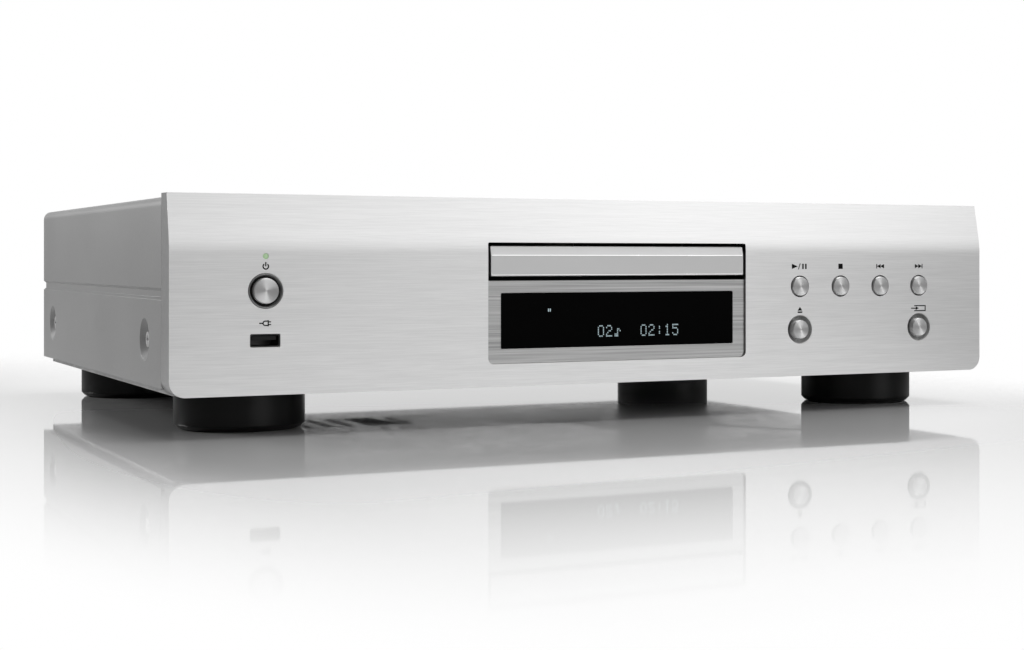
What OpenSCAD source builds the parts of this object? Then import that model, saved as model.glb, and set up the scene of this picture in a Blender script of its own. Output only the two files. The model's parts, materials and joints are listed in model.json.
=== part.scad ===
// Component-size CD player: casing, front controls, disc loader, boards and rear sockets.
// Origin: centre of the footprint on the surface it stands on. +X right seen from the
// front, the front faces -Y, +Z up. Millimetres.

/* [Casing] */
// Overall width
case_w = 434; // [430:1:440]
// Overall height, feet included
case_h = 107; // [106:0.5:109]
// Depth from the panel face to the rear panel
case_d = 319; // [315:1:325]
// Height of the chassis floor above the surface
floor_z = 18.5; // [18:0.5:19]
// Sheet thickness of cover, chassis and rear panel
sheet = 1.2; // [1:0.1:1.4]

/* [Front panel] */
// Thickness of the aluminium face
face_t = 3.5; // [3:0.5:4]
// Height where the face begins to lean back
lean_z = 81; // [79:0.5:83]
// Lean of the upper band, degrees
lean_deg = 11.7; // [10:0.1:13]
// Radius of the lower corners
corner_r = 7; // [5:0.5:9]

/* [Controls] */
// Sideways place of the power button, LED and USB socket
left_x = -175; // [-178:0.5:-172]
// Height of the upper control row
row_z = 64.3; // [63:0.1:66]
// Sideways place of the first transport button
keys_x = 102; // [100:0.1:103]
// Spacing of the transport buttons
key_pitch = 24.86; // [24:0.02:25.4]
// Press travel of every button
press = 0.8; // [0.5:0.1:1]

/* [Disc loader] */
// Depth place of the spindle
spindle_y = -85; // [-86:0.5:-84]
// Height of the disc plane in play
disc_z = 77; // [76.8:0.1:77.2]
// Travel of the tray
tray_travel = 142; // [138:1:144]

/* [Hidden] */

// --- driving places worked out from the sizes above ---
half_w = case_w / 2;
front_y = -162.5;
back_y = front_y + case_d;
panel_back_y = front_y + 14.5;
cover_y = panel_back_y + 0.2;
cover_top = case_h - 1.2;
cover_low = floor_z + 3;
cover_r = 4.5;
slip = 0.1;
groove_low = 60.4;
groove_high = 65.6;
groove_d = 1.3;
dish_r = 9.75;
dish_d = 3.6;
dish_z = 42;
dish_ys = [panel_back_y + 34, back_y - 30];
flange_x = half_w - dish_d - sheet;
chassis_top = floor_z + sheet;
panel_low = floor_z;

slot_half = 69.8;
slot_low = 68.3;
slot_high = 86;
bezel_low = 29.1;
window_half = 62.85;
window_low = 36;
window_high = 62.3;

foot_r = 29.9;
foot_x = 172.4;
foot_ys = [-109, 118];
foot_low = 0.5;
pad_in = 18;
pad_out = 26;
pad_h = 2.4;

key_xs = [for (k = [0:3]) keys_x + k * key_pitch];
low_key_xs = [key_xs[0], key_xs[3]];
low_key_z = 42.3;
key_r = 4.8;
key_hole_r = 5.5;
low_cap_r = 4.7;
collar_hole_r = 7.3;
collar_set = 0.3;
power_cap_r = 5.6;
power_hole_r = 7.85;
cap_rise = 1.2;
stem_r = 3;
usb_z = 42.5;
usb_w = 13.5;
usb_h = 5.9;
led_z = 79.5;

// --- shared shapes ---

// Points along the front of the panel, d behind its face, from height z0 to z1
function face_arc(d, r = 40) =
    [for (a = [0:lean_deg / 6:lean_deg + 0.001])
        [front_y + d + r * (1 - cos(a)), lean_z + r * sin(a)]];
function face_end(d, z1) =
    let (last = face_arc(d)[6])
    [last[0] + (z1 - last[1]) * tan(lean_deg), z1];
function face_line(d, z0, z1) =
    concat([[front_y + d, z0]], face_arc(d), [face_end(d, z1)]);

// Solid whose outline is given as [y, z] points, from x0 to x1
module along_x(points, x0, x1) {
    translate([x0, 0, 0])
        rotate([90, 0, 90])
            linear_extrude(x1 - x0) polygon(points);
}

// Solid whose outline is drawn as [x, z], from y0 to y1
module along_y(y0, y1) {
    translate([0, y1, 0])
        rotate([90, 0, 0])
            linear_extrude(y1 - y0) children();
}

module box(low, high) {
    translate(low) cube(high - low);
}

module rod_y(x, z, r, y0, y1, sides = 48) {
    translate([x, y0, z]) rotate([-90, 0, 0]) cylinder(r = r, h = y1 - y0, $fn = sides);
}

module rod_x(y, z, r, x0, x1, sides = 48) {
    translate([x0, y, z]) rotate([0, 90, 0]) cylinder(r = r, h = x1 - x0, $fn = sides);
}

module post(x, y, r, z0, z1, sides = 48) {
    translate([x, y, z0]) cylinder(r = r, h = z1 - z0, $fn = sides);
}

// Rectangle with round corners, drawn from exact arcs
module round_rect(x0, z0, x1, z1, r) {
    translate([x0 + r, z0]) square([x1 - x0 - 2 * r, z1 - z0]);
    translate([x0, z0 + r]) square([x1 - x0, z1 - z0 - 2 * r]);
    for (x = [x0 + r, x1 - r], z = [z0 + r, z1 - r])
        translate([x, z]) circle(r = r, $fn = 32);
}

// Outline of the USB opening, drawn gap smaller all round
module usb_outline(gap) {
    translate([left_x - 0.25, usb_z])
        round_rect(gap - usb_w / 2, gap - usb_h / 2, usb_w / 2 - gap, usb_h / 2 - gap, 0.8);
}

// Spur gear outline: pitch radius and tooth count, straight-flanked teeth
function gear_points(pitch_r, teeth) =
    let (add = pitch_r * 2 / teeth, step = 360 / teeth)
    [for (k = [0:teeth - 1], p = [[-0.36, -1.2], [-0.14, 0.9], [0.14, 0.9], [0.36, -1.2]])
        let (r = pitch_r + p[1] * add * 0.85, a = (k + p[0] * 0.9) * step)
        [r * cos(a), r * sin(a)]];

module gear(pitch_r, teeth, height, turn = 0) {
    rotate([0, 0, turn]) linear_extrude(height) polygon(gear_points(pitch_r, teeth));
}

// --- casing ---

// Floor with low flanges on both sides, board stands, feet holes and vent slots
module bottom_chassis() {
    color("silver") difference() {
        union() {
            box([-flange_x, cover_y, floor_z], [flange_x, back_y - sheet, chassis_top]);
            for (s = [0, 1]) mirror([s, 0, 0])
                box([flange_x - sheet, cover_y, chassis_top - 0.5],
                    [flange_x, back_y - sheet - 0.2, dish_z + 12]);
            for (hole = concat(main_holes, power_holes))
                post(hole[0], hole[1], 3, chassis_top - 0.1, deck_z);
        }
        for (hole = concat(main_holes, power_holes))
            post(hole[0], hole[1], pilot_r, floor_z - 1, deck_z + 1);
        for (x = [-foot_x, foot_x], y = foot_ys) post(x, y, 2.1, 0, 40);
        for (s = [-1, 1], y = dish_ys)
            rod_x(y, dish_z, 1.8, s * flange_x - 5, s * flange_x + 5);
        for (k = [0:6])
            box([-100 + k * 12, 60, 0], [-95 + k * 12, 110, 40]);
        for (k = [0:6])
            box([60 + k * 12, -30, 0], [65 + k * 12, 20, 40]);
    }
}

// Half outline of the cover, d inside its outer skin, right side, upwards
function cover_side(d, low) =
    [[half_w - d, low],
     [half_w - d, groove_low - d * 0.4],
     [half_w - d - groove_d, groove_low + 1.2 - d * 0.4],
     [half_w - d - groove_d, groove_high - 1.2 + d * 0.4],
     [half_w - d, groove_high + d * 0.4]];
function cover_bend(d) =
    [for (a = [0:15:90])
        [half_w - cover_r + (cover_r - d) * cos(a),
         cover_top - cover_r + (cover_r - d) * sin(a)]];
function cover_right(d, low) = concat(cover_side(d, low), cover_bend(d));
function flipped(points) =
    [for (k = [len(points) - 1:-1:0]) [-points[k][0], points[k][1]]];
function cover_outline(d, low) =
    concat(cover_right(d, low), flipped(cover_right(d, low)));

// Dished screw recess pressed into a cover side
module dish(side, y) {
    translate([side * half_w, y, dish_z])
        rotate([0, side * -90, 0])
            children();
}

module top_cover() {
    color("#8b8d90") difference() {
        union() {
            difference() {
                along_y(cover_y, back_y + 1) polygon(cover_outline(0, cover_low));
                along_y(cover_y - 5, back_y + 5) polygon(cover_outline(sheet, cover_low - 1));
            }
            // lip turned in along each lower edge
            for (s = [0, 1]) mirror([s, 0, 0])
                box([flange_x + 0.2, cover_y, cover_low],
                    [half_w - sheet + 0.1, back_y - sheet - 1, cover_low + sheet]);
            // flange turned down over the rear panel
            box([-half_w + 12, back_y + 0.05, cover_top - 10],
                [half_w - 12, back_y + 1, cover_top - sheet + 0.1]);
            for (s = [-1, 1], y = dish_ys) dish(s, y)
                cylinder(r1 = dish_r + 1.2, r2 = dish_r - 2.4, h = dish_d + sheet, $fn = 64);
        }
        for (s = [-1, 1], y = dish_ys) dish(s, y) {
            translate([0, 0, -0.01])
                cylinder(r1 = dish_r, r2 = dish_r - 3.6, h = dish_d + 0.01, $fn = 64);
            cylinder(r = 2.1, h = 12, $fn = 32);
        }
        for (x = [-180, 0, 180]) rod_y(x, cover_top - 6, 1.6, back_y - 4, back_y + 4);
    }
}

phono_z = 62;
phono_xs = [-150, -132];
coax_x = -100;
optical_x = -74;
remote_xs = [-44, -28];
inlet_x = 160;
inlet_z = 60;

module rear_panel() {
    color("#3a3b3d") difference() {
        union() {
            along_y(back_y - sheet, back_y) intersection() {
                polygon(cover_outline(sheet + slip, cover_low));
                translate([-half_w, cover_low + sheet + slip])
                    square([case_w, cover_top - sheet - cover_low - sheet - 2 * slip]);
            }
            box([-flange_x + 0.5, back_y - sheet, chassis_top],
                [flange_x - 0.5, back_y, cover_low + sheet + 1]);
            box([-flange_x + 5, back_y - 10, chassis_top],
                [flange_x - 5, back_y, chassis_top + sheet]);
        }
        for (x = concat(phono_xs, [coax_x])) rod_y(x, phono_z, 5.2, back_y - 3, back_y + 3);
        for (x = remote_xs) rod_y(x, phono_z, 3.2, back_y - 3, back_y + 3);
        box([optical_x - 5, back_y - 3, phono_z - 5], [optical_x + 5, back_y + 3, phono_z + 5]);
        box([inlet_x - 13.7, back_y - 3, inlet_z - 10], [inlet_x + 13.7, back_y + 3, inlet_z + 10]);
        for (x = [-180, 0, 180]) rod_y(x, cover_top - 6, 1.3, back_y - 4, back_y + 4);
    }
}

// Aluminium panel: lean-back upper band, round lower corners, thin returned edges
module front_panel() {
    edge = 2.5;
    top_z = case_h;
    color("#c9cacc") difference() {
        intersection() {
            along_x(concat(face_line(0, panel_low, top_z),
                    [[panel_back_y, top_z], [panel_back_y, panel_low]]), -half_w, half_w);
            along_y(front_y - 5, panel_back_y + 5) union() {
                round_rect(-half_w, panel_low, half_w, top_z - 20, corner_r);
                translate([-half_w, 50]) square([case_w, top_z]);
            }
        }
        intersection() {
            along_x(concat(face_line(face_t, panel_low + edge, top_z - edge),
                    [[panel_back_y + 2, top_z - edge], [panel_back_y + 2, panel_low + edge]]),
                -half_w + edge, half_w - edge);
            along_y(front_y - 5, panel_back_y + 5) union() {
                round_rect(-half_w + edge, panel_low + edge, half_w - edge, 70, corner_r - edge);
                translate([-half_w + edge, 50]) square([case_w - 2 * edge, top_z]);
            }
        }
        along_y(front_y - 5, front_y + 12) {
            round_rect(-slot_half, bezel_low, slot_half, slot_high - 10, 2.75);
            round_rect(-slot_half, 50, slot_half, slot_high, 0.8);
            usb_outline(0);
        }
        rod_y(left_x, row_z, power_hole_r, front_y - 5, front_y + 12);
        rod_y(left_x, led_z, 1.3, front_y - 5, front_y + 12);
        for (x = key_xs) rod_y(x, row_z, key_hole_r, front_y - 5, front_y + 12);
        for (x = low_key_xs)
            rod_y(x, low_key_z, collar_hole_r, front_y - 5, front_y + 12);
    }
}

frame_d = face_t + 0.1;
frame_t = 2.4;
frame_front = front_y + frame_d;
frame_back = frame_front + frame_t;
switch_y = frame_back + 4;
key_board_y = switch_y + 4.4;
board_y = frame_back + 6;
board_t = 1.6;
boss_z = 30;
boss_r = 2.8;
pilot_r = 1.3;
key_board_screws = [-200, -148, 84, 200];
display_screws = [-68, 68];

// Moulded frame that backs the panel and carries window, buttons and boards
module front_frame() {
    color("#1c1c1e") difference() {
        union() {
            along_x(concat(face_line(frame_d, panel_low + 3, case_h - 3),
                    [for (p = [1:9]) face_line(frame_d + frame_t, panel_low + 3, case_h - 3)[9 - p]]),
                -half_w + 8, half_w - 8);
            for (x = [-slot_half - 3, slot_half + 0.4])
                box([x, frame_front + 3, slot_low - 4], [x + 2.6, frame_front + 8, slot_high + 4]);
            for (x = key_board_screws)
                rod_y(x, boss_z, boss_r, frame_back - 0.1, key_board_y);
            for (x = display_screws)
                rod_y(x, boss_z, boss_r, frame_back - 0.1, board_y);
        }
        along_y(front_y - 5, front_y + 20) {
            translate([-slot_half, slot_low]) square([2 * slot_half, slot_high - slot_low]);
            translate([-window_half + 3, window_low + 3])
                square([2 * window_half - 6, window_high - window_low - 6]);
            usb_outline(-0.4);
        }
        rod_y(left_x, row_z, power_hole_r + 0.1, front_y - 5, front_y + 20);
        rod_y(left_x, led_z, 1.7, front_y - 5, front_y + 20);
        for (x = key_xs) rod_y(x, row_z, key_hole_r + 0.2, front_y - 5, front_y + 20);
        for (x = low_key_xs)
            rod_y(x, low_key_z, collar_hole_r + 0.2, front_y - 5, front_y + 20);
        for (x = concat(key_board_screws, display_screws))
            rod_y(x, boss_z, pilot_r, frame_front + 1, front_y + 20);
    }
}

// --- display ---
bezel_front = front_y + 1.3;
window_front = front_y + 1.7;

module display_bezel() {
    color("#8f9194") along_y(bezel_front, frame_front - 0.05) difference() {
        union() {
            round_rect(-slot_half + 0.1, bezel_low + 0.1, slot_half - 0.1, slot_low - 3, 2.65);
            translate([-slot_half + 0.1, bezel_low + 5])
                square([2 * slot_half - 0.2, slot_low - 0.2 - bezel_low - 5]);
        }
        round_rect(-window_half, window_low, window_half, window_high, 0.8);
    }
}

module display_window() {
    color("#0a0a0c") along_y(window_front, frame_front - 0.05)
        round_rect(-window_half + 0.1, window_low + 0.1,
            window_half - 0.1, window_high - 0.1, 0.8);
}

// Sealed glass display tube behind the window
module display_tube() {
    color("#20262a") {
        box([-56, frame_back + 0.3, window_low + 4], [56, frame_back + 5.5, window_high - 4]);
        post(-50, frame_back + 3, 1.4, window_high - 4.1, window_high - 1);
    }
}

module display_board() {
    color("#2f6b3a") difference() {
        box([-86, board_y, 26], [72, board_y + board_t, 66]);
        for (x = display_screws) rod_y(x, boss_z, 1.6, board_y - 2, board_y + 4);
    }
}

// --- buttons ---

// Turned cap on a stem with a retaining flange, its face slightly hollow
module cap(x, z, r, flange_r) {
    face_y = front_y - cap_rise;
    color("#bfc0c2") difference() {
        union() {
            rod_y(x, z, r, face_y, front_y + 2.6);
            rod_y(x, z, stem_r, front_y + 2.5, switch_y - press - 0.3);
            rod_y(x, z, flange_r, frame_back + 1.1, frame_back + 2);
        }
        translate([x, face_y - 0.01, z]) rotate([-90, 0, 0])
            cylinder(r1 = r - 0.6, r2 = 0.4, h = 0.25, $fn = 48);
    }
}

module play_pause_button() { cap(key_xs[0], row_z, key_r, key_hole_r + 1.6); }
module stop_button() { cap(key_xs[1], row_z, key_r, key_hole_r + 1.6); }
module previous_button() { cap(key_xs[2], row_z, key_r, key_hole_r + 1.6); }
module next_button() { cap(key_xs[3], row_z, key_r, key_hole_r + 1.6); }
module eject_button() { cap(low_key_xs[0], low_key_z, low_cap_r, low_cap_r + 1.3); }
module source_button() { cap(low_key_xs[1], low_key_z, low_cap_r, low_cap_r + 1.3); }
module power_button() { cap(left_x, row_z, power_cap_r, power_cap_r + 1.2); }

// Ring let into the panel round a button, coned inwards from rim_r at its front face
module dished_ring(x, z, outer_r, rim_r, bore_r, face_y, depth) {
    difference() {
        rod_y(x, z, outer_r, face_y, frame_back);
        rod_y(x, z, bore_r, face_y - 1, frame_back + 1);
        translate([x, face_y - 0.01, z]) rotate([-90, 0, 0])
            cylinder(r1 = rim_r, r2 = bore_r, h = depth, $fn = 64);
    }
}

module button_collars() {
    color("#b4b5b8") for (x = low_key_xs)
        dished_ring(x, low_key_z, collar_hole_r - 0.05, collar_hole_r - 0.2, low_cap_r + 0.3,
            front_y + collar_set, 2);
}

module power_ring() {
    color("#4c4d50")
        dished_ring(left_x, row_z, power_hole_r - 0.25, power_hole_r - 0.6, power_cap_r + 0.25,
            front_y - 0.25, 1.6);
}

// Tact switch: square body with a round plunger facing the button stem
module tact_switch(x, z) {
    box([x - 3, switch_y + 0.9, z - 3], [x + 3, switch_y + 4.4, z + 3]);
    rod_y(x, z, 1.7, switch_y, switch_y + 1);
}

module tact_switches() {
    color("#26262a") {
        tact_switch(left_x, row_z);
        for (x = key_xs) tact_switch(x, row_z);
        for (x = low_key_xs) tact_switch(x, low_key_z);
    }
}

// Upright boards behind the two groups of controls
module key_boards() {
    color("#2f6b3a") difference() {
        for (xs = [[82, 202], [-204, -146]])
            box([xs[0], key_board_y, 26], [xs[1], key_board_y + board_t, 80]);
        for (x = key_board_screws) rod_y(x, boss_z, 1.6, key_board_y - 2, key_board_y + 4);
    }
}

module led_lens() {
    color("#3ddc4a") {
        rod_y(left_x, led_z, 1.25, front_y + 0.2, key_board_y - 2);
        rod_y(left_x, led_z, 1.6, frame_back + 0.5, key_board_y);
    }
}

// --- USB socket ---

module usb_shell() {
    color("silver") difference() {
        along_y(front_y + 0.6, key_board_y) usb_outline(0.15);
        along_y(front_y, key_board_y - 1.5) usb_outline(0.5);
    }
}

module usb_tongue() {
    usb_x = left_x - 0.25;
    color("#151515") box([usb_x - 5.5, front_y + 2.2, usb_z + 0.2],
        [usb_x + 5.5, key_board_y - 1.5, usb_z + 2]);
}

// --- feet and screws ---

module foot(x, y) {
    color("#101012") translate([x, y, 0]) rotate_extrude($fn = 96)
        polygon([[2.1, 14], [2.1, floor_z], [foot_r, floor_z], [foot_r, 2.5],
            [foot_r - 2, foot_low], [pad_out, foot_low], [pad_out, pad_h], [pad_in, pad_h],
            [pad_in, foot_low], [15, foot_low], [15, 14]]);
}

module foot_front_left() { foot(-foot_x, foot_ys[0]); }
module foot_front_right() { foot(foot_x, foot_ys[0]); }
module foot_rear_left() { foot(-foot_x, foot_ys[1]); }
module foot_rear_right() { foot(foot_x, foot_ys[1]); }

// Soft rings let into the undersides of the feet
module foot_pads() {
    color("#2a2a2c") for (x = [-foot_x, foot_x], y = foot_ys) difference() {
        post(x, y, pad_out - 0.05, 0, pad_h, 64);
        post(x, y, pad_in + 0.05, -1, 3, 64);
    }
}

// Cross-head screw pointing up, its head's underside at the origin
module screw(head_r, head_h, shank_r, shank_l) {
    difference() {
        translate([0, 0, -head_h]) cylinder(r = head_r, h = head_h, $fn = 48);
        for (a = [0, 90]) rotate([0, 0, a])
            translate([-head_r * 0.55, -0.4, -head_h - 1]) cube([head_r * 1.1, 0.8, 1 + head_h * 0.6]);
    }
    cylinder(r = shank_r, h = shank_l, $fn = 32);
}

module case_screws() {
    color("#b9bbbd") {
        for (s = [-1, 1], y = dish_ys)
            translate([s * (half_w - dish_d), y, dish_z]) rotate([0, s * -90, 0])
                screw(3.5, 2.2, 1.75, 6);
        for (x = [-180, 0, 180])
            translate([x, back_y + 1, cover_top - 6]) rotate([90, 0, 0])
                screw(3, 1.8, 1.25, 6);
        for (x = [-foot_x, foot_x], y = foot_ys) translate([x, y, 14]) {
            screw(3.6, 2.4, 2.05, 12);
            translate([0, 0, chassis_top - 14]) difference() {
                cylinder(r = 3.6, h = 3, $fn = 6);
                translate([0, 0, -1]) cylinder(r = 2.05, h = 5, $fn = 32);
            }
        }
        for (hole = concat(main_holes, power_holes))
            translate([hole[0], hole[1], part_z]) rotate([180, 0, 0])
                screw(2.9, 1.8, 1.25, 6);
        for (x = key_board_screws)
            translate([x, key_board_y + board_t, boss_z]) rotate([90, 0, 0])
                screw(2.6, 1.6, 1.25, 5);
        for (x = display_screws)
            translate([x, board_y + board_t, boss_z]) rotate([90, 0, 0])
                screw(2.6, 1.6, 1.25, 5);
    }
}

// --- boards and power supply ---
deck_z = chassis_top + 7.3;
part_z = deck_z + board_t;
main_holes = [for (x = [-200, -73], y = [-55, 130]) [x, y]];
power_holes = [for (x = [95, 200], y = [55, 143]) [x, y]];

module board(low, high, holes) {
    color("#2f6b3a") difference() {
        box([low[0], low[1], deck_z], [high[0], high[1], part_z]);
        for (hole = holes) post(hole[0], hole[1], 1.6, deck_z - 1, part_z + 1);
    }
}

module main_board() { board([-205, -60], [-68, 148], main_holes); }
module power_board() { board([90, 50], [205, 148], power_holes); }

// Chips, capacitors and relays standing on the two boards
module board_components() {
    color("#1a1a1c") {
        box([-170, 10, part_z], [-148, 32, part_z + 2.2]);
        box([-130, -10, part_z], [-114, 6, part_z + 2.2]);
        box([-120, 50, part_z], [-104, 60, part_z + 2]);
        box([-160, 96, part_z], [-150, 104, part_z + 2]);
        box([100, 120, part_z], [118, 134, part_z + 14]);
    }
    color("#20305c") {
        for (x = [104, 128], y = [66, 90]) post(x, y, 9, part_z, part_z + 30);
        for (x = [-190:14:-130]) post(x, 74, 4, part_z, part_z + 12);
        for (x = [-186:16:-120]) post(x, 120, 5, part_z, part_z + 15);
    }
}

// Finned extrusion for the regulators
module heat_sink() {
    color("#8a8c8e") {
        box([166, 70, part_z], [202, 73, part_z + 32]);
        for (k = [0:5]) box([167 + k * 6.5, 72.9, part_z], [168.6 + k * 6.5, 92, part_z + 32]);
    }
}

core_x = 150;
core_y = -30;
core_w = 66;
core_h = 56;
core_d = 24;

module at_core() { translate([core_x, core_y, chassis_top]) children(); }

// Laminated core standing on its mounting plate
module transformer_core() {
    color("#5c5e60") at_core() difference() {
        union() {
            box([-core_w / 2, -core_d / 2, 1], [core_w / 2, core_d / 2, core_h]);
            box([-core_w / 2 - 8, -core_d / 2, 0], [core_w / 2 + 8, core_d / 2, 1]);
        }
        for (x = [-22, 11]) box([x, -20, 12], [x + 11, 20, core_h - 11]);
    }
}

module transformer_coil() {
    color("#b4783c") at_core() difference() {
        box([-21.5, -21, 12.4], [21.5, 21, core_h - 11.4]);
        box([-11.1, -core_d / 2 - 0.1, 0], [11.1, core_d / 2 + 0.1, core_h]);
    }
}

// --- rear sockets ---
barrel_r = 4.15;
barrel_l = 7.2;
barrel_xs = concat(phono_xs, [coax_x]);

// Plated outer barrels with their flanges
module phono_sockets() {
    color("#c9a24a") for (x = barrel_xs) difference() {
        union() {
            rod_y(x, phono_z, barrel_r, back_y - 6, back_y + barrel_l);
            rod_y(x, phono_z, 6, back_y + 0.02, back_y + 1.2);
        }
        rod_y(x, phono_z, 3.4, back_y - 7, back_y + barrel_l + 1);
    }
}

// Insulating cores and the housings behind the rear panel
module phono_blocks() {
    color("#e8e8e8") for (x = barrel_xs) difference() {
        union() {
            rod_y(x, phono_z, 3.38, back_y - 6, back_y + barrel_l - 0.6);
            box([x - 7, back_y - 16, part_z], [x + 7, back_y - 6, phono_z + 7]);
        }
        rod_y(x, phono_z, 1.6, back_y - 8, back_y + barrel_l + 1);
    }
}

module optical_socket() {
    color("#141414") difference() {
        union() {
            box([optical_x - 4.9, back_y - 3, phono_z - 4.9], [optical_x + 4.9, back_y + 1.2, phono_z + 4.9]);
            box([optical_x - 6, back_y - 16, part_z], [optical_x + 6, back_y - 2.9, phono_z + 6]);
        }
        box([optical_x - 3.2, back_y + 0.2, phono_z - 3.2], [optical_x + 3.2, back_y + 2, phono_z + 3.2]);
    }
}

jack_r = 1.8;

module remote_sockets() {
    color("#141414") for (x = remote_xs) difference() {
        union() {
            rod_y(x, phono_z, 3.1, back_y - 3, back_y + 1.5);
            box([x - 5, back_y - 16, phono_z - 5], [x + 5, back_y - 2.9, phono_z + 5]);
        }
        rod_y(x, phono_z, jack_r, back_y - 14, back_y + 2);
    }
}

inlet_in = 15;

// Two-pole mains inlet: shrouded recess with two flat pins
module mains_inlet() {
    color("#101010") translate([inlet_x, back_y, inlet_z]) difference() {
        union() {
            box([-16, 0.02, -12], [16, 1.8, 12]);
            box([-13.6, -inlet_in - 2, -9.9], [13.6, 0.1, 9.9]);
        }
        box([-12, -inlet_in, -8], [12, 3, 8]);
    }
    color("silver") translate([inlet_x, back_y, inlet_z]) for (x = [-7, 7])
        box([x - 1, -inlet_in, -3], [x + 1, -3, 3]);
}

// --- flat cables, whole along their routes ---
ribbon_t = 0.3;

function ribbon(path) =
    concat(path, [for (k = [len(path) - 1:-1:0]) path[k] + [0.15, ribbon_t]]);

module flat_cables() {
    color("#e6e4dc") {
        along_x(ribbon([[board_y + board_t, 34], [-146, 34], [-142, 23], [-70, 23],
            [-62, part_z + 1], [-52, part_z + 1]]), -84.5, -77);
        along_y(100, 118) polygon(ribbon([[-84, part_z + 0.6], [-66, part_z + 0.6], [-62, 23],
            [84, 23], [88, part_z + 0.6], [98, part_z + 0.6]]));
    }
}

// --- disc loader ---
loader_x = 69;
loader_y0 = -136;
loader_y1 = 50;
shelf_z = 59.5;
plate_z = 68;
plate_top = 72;
wall_in = 66;
gear_x = 38;
gear_y = -113;
rack_r = 12;
wheel_r = 16;
pinion_r = 5;
mesh_deg = 201.8;
pulley_x = gear_x + (wheel_r + pinion_r) * cos(mesh_deg);
pulley_y = gear_y + (wheel_r + pinion_r) * sin(mesh_deg);
motor_x = -22;
pulley_r = 10.5;
motor_pulley_r = 3;
belt_z = 61.5;
hinge_y = 8;
hinge_z = 62;
slider_y = [-106.4, -103.6];
slider_z = [42, 63.8];
pin_x = 18;
pin_z = 57.5;
slide_x = 18;
drop_deg = 5.3;
pin_drop = (hinge_y - slider_y[1] + 1) * sin(drop_deg);

module loader_base() {
    color("#1e1e20") difference() {
        union() {
            box([-loader_x, loader_y0, plate_z], [loader_x, loader_y1, plate_top]);
            for (s = [0, 1]) mirror([s, 0, 0]) {
                box([wall_in, loader_y0, 46], [loader_x, loader_y1, 83]);
                box([wall_in - 3, loader_y0 + 4, 81], [wall_in + 0.1, loader_y1 - 5, 83]);
                box([40.5, hinge_y - 5, 57], [44, hinge_y + 5, plate_z + 0.1]);
            }
            box([-loader_x, loader_y0, 57], [loader_x, loader_y0 + 2, plate_z + 0.1]);
            box([-loader_x, loader_y1 - 2, 46], [loader_x, loader_y1, plate_z + 0.1]);
            box([-46, loader_y0 + 1, 57], [56, slider_y[0] - 0.6, shelf_z]);
            for (x = [-45, 42]) box([x - 2, slider_y[0] - 3, slider_z[0] - 2],
                [x + 2, slider_y[1] + 3, slider_z[1] + 0.5]);
        }
        box([-40, -110, plate_z - 1], [40, 14, plate_top + 1]);
        box([48.4, loader_y0 - 1, plate_z + 0.2], [55.5, loader_y1 + 1, plate_top + 1]);
        post(gear_x, gear_y, rack_r + 1.6, plate_z - 1, plate_top + 1);
        post(motor_x, pulley_y, 2, 50, shelf_z + 1);
        for (x = [-45, 42]) box([x - 3, slider_y[0] - 0.15, slider_z[0] - 0.15],
            [x + 3, slider_y[1] + 0.15, slider_z[1] + 0.15]);
        for (s = [-1, 1]) rod_x(hinge_y, hinge_z, 2.05, s * 42.5 - 4, s * 42.5 + 4);
    }
    color("#c8c8c8") {
        post(pulley_x, pulley_y, 1.5, shelf_z - 1, plate_z + 0.1);
        post(gear_x, gear_y, 1.5, shelf_z - 1, plate_top + 0.2);
    }
}

// Angle brackets that carry the loader above the chassis floor
module loader_brackets() {
    color("silver") for (s = [0, 1]) mirror([s, 0, 0])
        for (y = [loader_y0 + 8, loader_y1 - 24]) {
            box([wall_in - 1.3, y, chassis_top], [wall_in - 0.1, y + 16, 56]);
            box([wall_in - 10, y, chassis_top], [wall_in - 1, y + 16, chassis_top + sheet]);
        }
}

bridge_z = 86.5;

module clamp_bridge() {
    color("silver") difference() {
        union() {
            box([-loader_x, spindle_y - 16, bridge_z], [loader_x, spindle_y + 16, bridge_z + 1.5]);
            for (s = [0, 1]) mirror([s, 0, 0])
                box([wall_in, spindle_y - 16, 83], [wall_in + 1.5, spindle_y + 16, bridge_z + 0.1]);
        }
        post(0, spindle_y, 12, bridge_z - 1, bridge_z + 3, 64);
    }
}

// Floating puck that presses the disc on the turntable
module clamp_puck() {
    color("#d8d8d6") translate([0, spindle_y, 0]) rotate_extrude($fn = 64)
        polygon([[0, disc_z + 4.2], [8, disc_z + 4.2], [8, disc_z + 1.4], [14.5, disc_z + 1.4],
            [14.5, disc_z + 4], [10, disc_z + 6], [10, bridge_z + 2], [15, bridge_z + 2],
            [15, bridge_z + 4], [0, bridge_z + 4]]);
}

// --- tray ---
tray_x = 65.5;
tray_top = 80.5;
tray_low = 73;
seat_z = 75.5;
seat_r = 60.7;
small_r = 40.7;
slot_x = 21;
tray_front_y = front_y + 5.1;
deck_end = 10;
rail_end = 42;
tooth = 3.14159265;
rack_x = gear_x + rack_r;
rack_first = -3;
rack_last = ceil(tray_travel / tooth);

// Rack outline under the tray, teeth towards the loading gear
function rack_points() =
    concat([[rack_x + 4.5, gear_y + (rack_last + 1) * tooth],
            [rack_x + 4.5, gear_y + rack_first * tooth]],
        [for (k = [rack_first:rack_last],
              p = [[0.176, -1.02], [0.374, 0.765], [0.626, 0.765], [0.824, -1.02]])
            [rack_x - p[1], gear_y + (k + p[0]) * tooth]]);

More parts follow.
